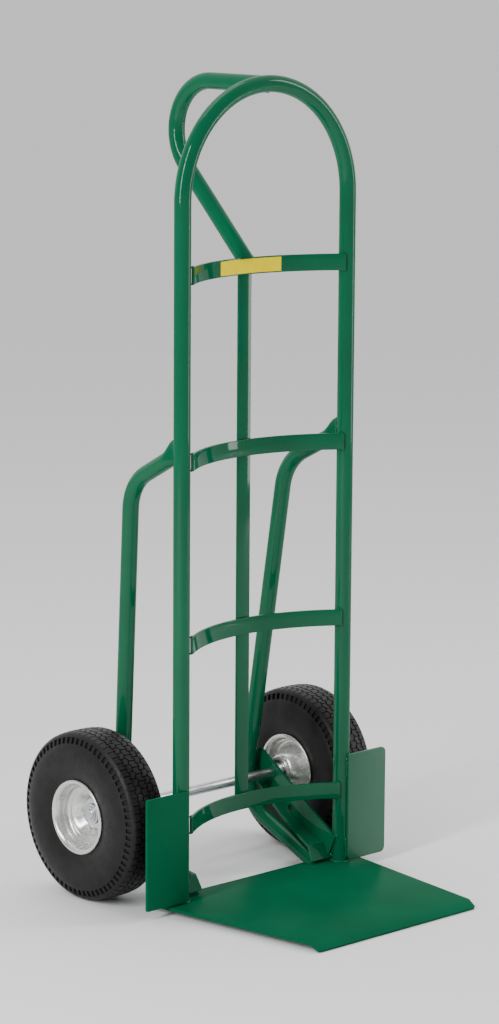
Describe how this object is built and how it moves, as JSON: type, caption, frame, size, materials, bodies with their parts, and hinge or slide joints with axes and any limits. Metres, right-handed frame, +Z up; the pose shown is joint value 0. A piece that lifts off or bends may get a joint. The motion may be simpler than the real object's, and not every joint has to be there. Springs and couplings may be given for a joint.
{
  "type": "hand truck",
  "caption": "Two-wheeled steel hand truck with a loop frame, curved crossbars, rear pistol-grip handle, side braces, wheel guards and a bevelled nose plate.",
  "frame": {"origin": "centre of the bounding box's footprint, on the ground", "axes": "+Z up, +Y toward the wheels and the rear handle, nose plate toward -Y, +X toward the right as seen from the nose side; left_ and right_ in names are as seen from the nose side"},
  "size_m": [0.5168, 0.5673, 1.243],
  "materials": {
    "green_paint": "gloss powder coat",
    "zinc_plate": "bright zinc plate",
    "rim_coat": "satin silver coat",
    "tyre_rubber": "matte",
    "bearing_steel": "ground",
    "seal_rubber": "matte",
    "label_film": "plain printed film"
  },
  "bodies": {
    "frame": {"frame_loop": "green_paint", "rear_handle": "green_paint", "crossbar_1": "green_paint", "crossbar_2": "green_paint", "crossbar_3": "green_paint", "crossbar_4": "green_paint", "center_strap": "green_paint", "nose_plate": "green_paint", "left_side_plate": "green_paint", "right_side_plate": "green_paint", "left_brace_tube": "green_paint", "right_brace_tube": "green_paint", "left_axle_bracket": "green_paint", "right_axle_bracket": "green_paint", "axle": "zinc_plate", "crossbar_label": "label_film", "left_spacer": "zinc_plate", "right_spacer": "zinc_plate", "left_washer": "zinc_plate", "right_washer": "zinc_plate", "left_push_nut": "zinc_plate", "right_push_nut": "zinc_plate", "left_inner_races": "bearing_steel", "right_inner_races": "bearing_steel"},
    "left_wheel": {"left_tyre": "tyre_rubber", "left_rim_barrel": "rim_coat", "left_outer_disc": "rim_coat", "left_inner_disc": "rim_coat", "left_hub": "zinc_plate", "left_outer_races": "bearing_steel", "left_bearing_balls": "bearing_steel", "left_bearing_seals": "seal_rubber"},
    "right_wheel": {"right_tyre": "tyre_rubber", "right_rim_barrel": "rim_coat", "right_outer_disc": "rim_coat", "right_inner_disc": "rim_coat", "right_hub": "zinc_plate", "right_outer_races": "bearing_steel", "right_bearing_balls": "bearing_steel", "right_bearing_seals": "seal_rubber"}
  },
  "joints": [
    {"name": "left_wheel_spin", "type": "hinge", "parent": "frame", "child": "left_wheel", "pos_m": [-0.2184, 0.15366, 0.13], "axis": [1, 0, 0], "continuous": true},
    {"name": "right_wheel_spin", "type": "hinge", "parent": "frame", "child": "right_wheel", "pos_m": [0.2184, 0.15366, 0.13], "axis": [1, 0, 0], "continuous": true}
  ]
}
